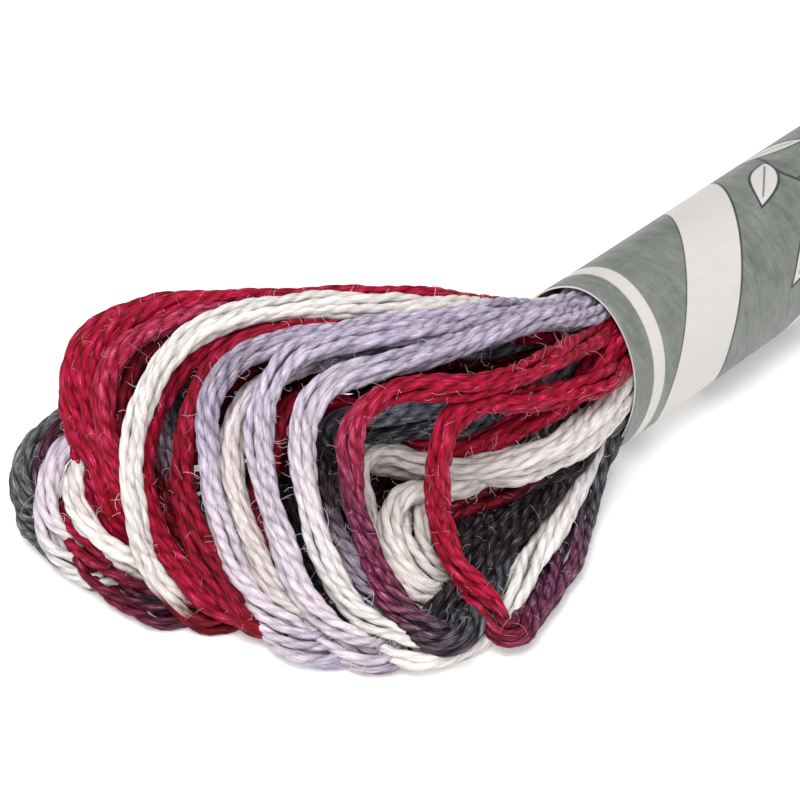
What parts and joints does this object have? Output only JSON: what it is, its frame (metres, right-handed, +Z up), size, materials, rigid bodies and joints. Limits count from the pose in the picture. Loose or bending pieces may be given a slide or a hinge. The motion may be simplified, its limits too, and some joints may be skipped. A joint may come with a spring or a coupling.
{
  "type": "embroidery floss skein",
  "caption": "Skein of stranded embroidery floss in crimson, plum, lavender, cream and dark grey, fanned open at one end and held by a wrapped paper band.",
  "frame": {"origin": "middle of the footprint, on the table that the skein lies on", "axes": "+X along the paper band, from the fanned end towards the long tail; +Y towards the side away from the open side of the fan; +Z up"},
  "size_m": [0.1476, 0.0296, 0.0147],
  "materials": {
    "floss": "soft sheen of mercerised cotton",
    "band_paper": "smooth uncoated print"
  },
  "bodies": {
    "root": {"floss_hank": "floss", "paper_band": "band_paper"}
  },
  "joints": []
}
